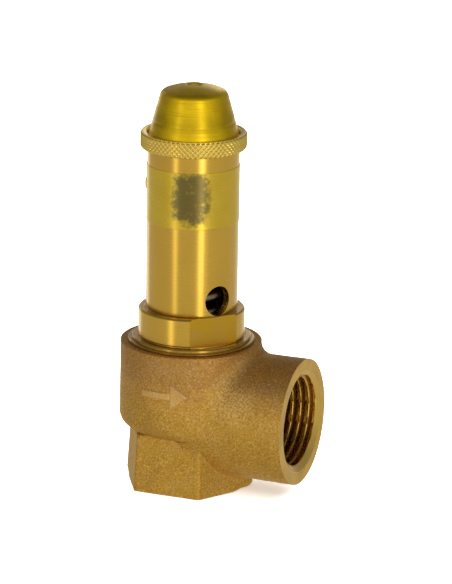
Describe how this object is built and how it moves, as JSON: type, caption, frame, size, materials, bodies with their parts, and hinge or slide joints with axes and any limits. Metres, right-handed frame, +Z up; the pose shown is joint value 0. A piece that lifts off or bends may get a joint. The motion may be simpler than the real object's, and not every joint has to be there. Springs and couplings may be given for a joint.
{
  "type": "pressure relief valve",
  "caption": "Angle pressure relief valve with hexagonal female inlet, side female outlet, spring housing, knurled lifting knob and domed cap.",
  "frame": {"origin": "centre of the inlet face, on the spindle axis", "axes": "+Z up along the spindle axis, +X out of the side outlet"},
  "size_m": [0.0403, 0.0303, 0.0859],
  "materials": {
    "cast_bronze": "rough",
    "turned_brass": "satin",
    "polished_brass": "polished",
    "steel": "satin",
    "spring_steel": "satin",
    "seal_rubber": "matte",
    "label_film": "gloss"
  },
  "bodies": {
    "valve_body": {"body_casting": "cast_bronze", "bonnet": "turned_brass", "bonnet_seal_ring": "seal_rubber", "guide_bush": "turned_brass", "spindle_seal_ring": "seal_rubber", "spring": "spring_steel", "upper_spring_plate": "turned_brass", "adjusting_screw": "turned_brass", "lock_nut": "turned_brass", "locking_pin": "turned_brass", "label_film": "label_film"},
    "thrust_washer": {"lift_washer": "steel"},
    "knob": {"lifting_knob": "turned_brass"},
    "spindle_group": {"spindle": "steel", "disc_holder": "turned_brass", "disc_seal": "seal_rubber", "seal_washer": "steel", "seal_nut": "steel", "spindle_clip": "steel", "lower_spring_plate": "turned_brass", "cap": "polished_brass", "cap_nut": "steel"}
  },
  "joints": [
    {"name": "washer_rise", "type": "slide", "parent": "valve_body", "child": "thrust_washer", "axis": [0, 0, 1], "range_m": [0, 0.0015]},
    {"name": "knob_turn", "type": "hinge", "parent": "thrust_washer", "child": "knob", "pos_m": [0, 0, 0.074], "axis": [0, 0, 1], "range_deg": [0, 360]},
    {"name": "spindle_lift", "type": "slide", "parent": "thrust_washer", "child": "spindle_group", "axis": [0, 0, 1], "range_m": [0, 0.003], "stiffness_N_per_m": 10000, "deforming": ["spring"]}
  ],
  "couplings": [
    {"joint": "knob_turn", "follows": "washer_rise", "rad_per_m": 4188.8}
  ]
}
